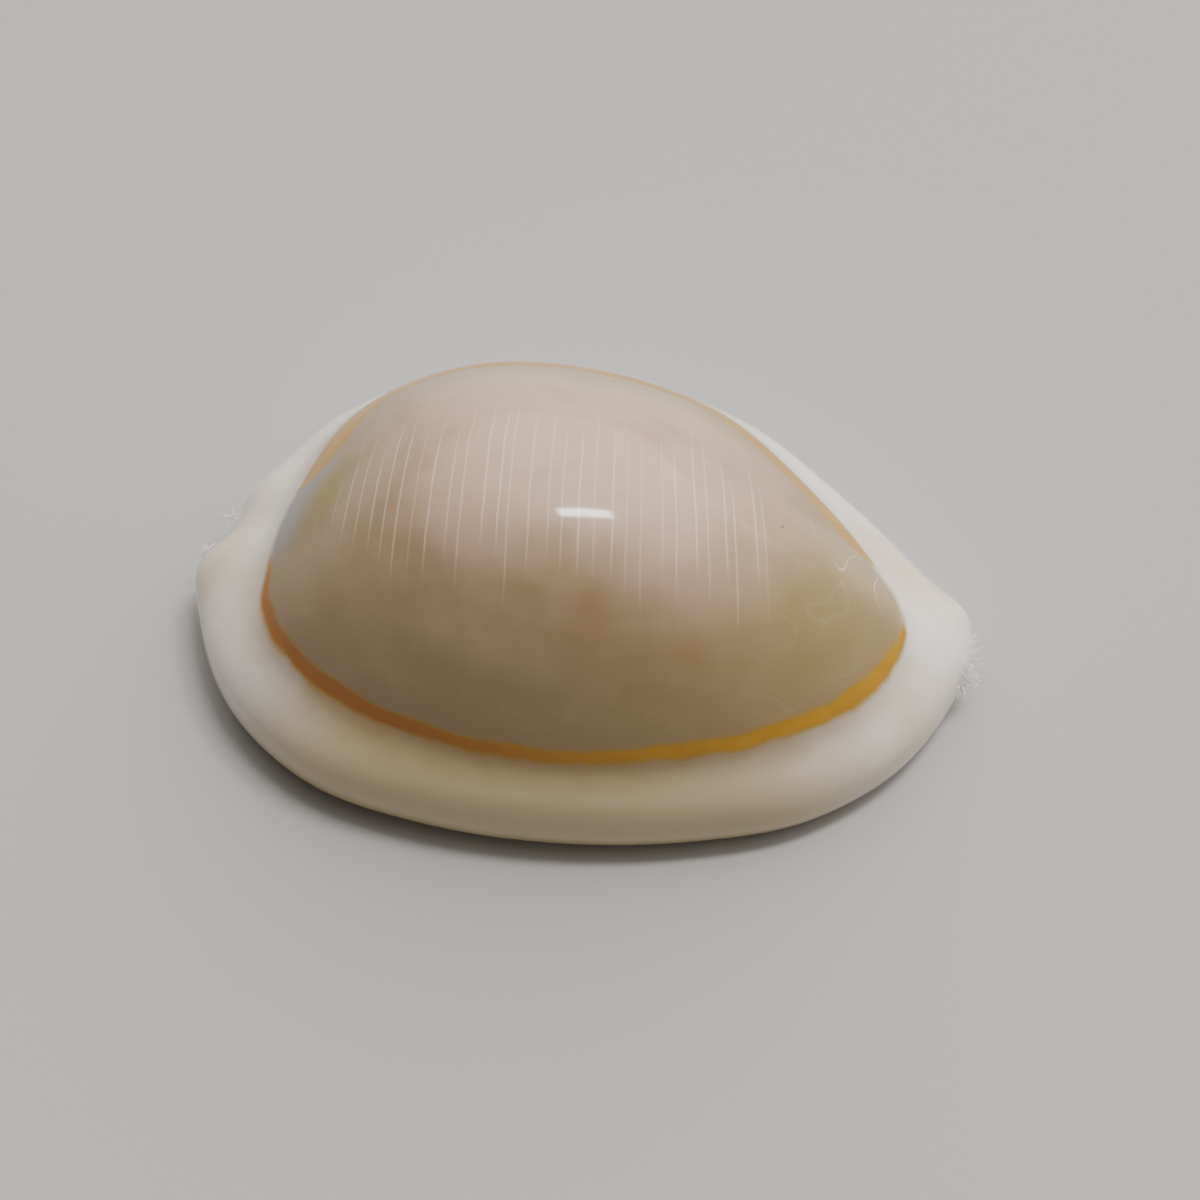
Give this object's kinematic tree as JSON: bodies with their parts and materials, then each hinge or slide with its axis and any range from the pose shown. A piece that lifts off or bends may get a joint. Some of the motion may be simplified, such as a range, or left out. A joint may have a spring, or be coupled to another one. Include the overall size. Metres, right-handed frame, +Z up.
{
  "type": "cowrie shell",
  "caption": "Glossy egg-shaped sea shell with a domed back, a thick rolled rim and a flat base slit from end to end by a toothed opening.",
  "frame": {"origin": "centre of the shell's bounding box in plan, on the plane that the base rests on", "axes": "+X along the shell to its anterior (narrower) end, -X to the posterior (spire) end, +Y to the columellar side, -Y to the outer lip, +Z up from the base to the crown of the back"},
  "size_m": [0.026, 0.0164, 0.0119],
  "materials": {
    "shell": "gloss"
  },
  "bodies": {
    "root": {"shell": "shell"}
  },
  "joints": []
}
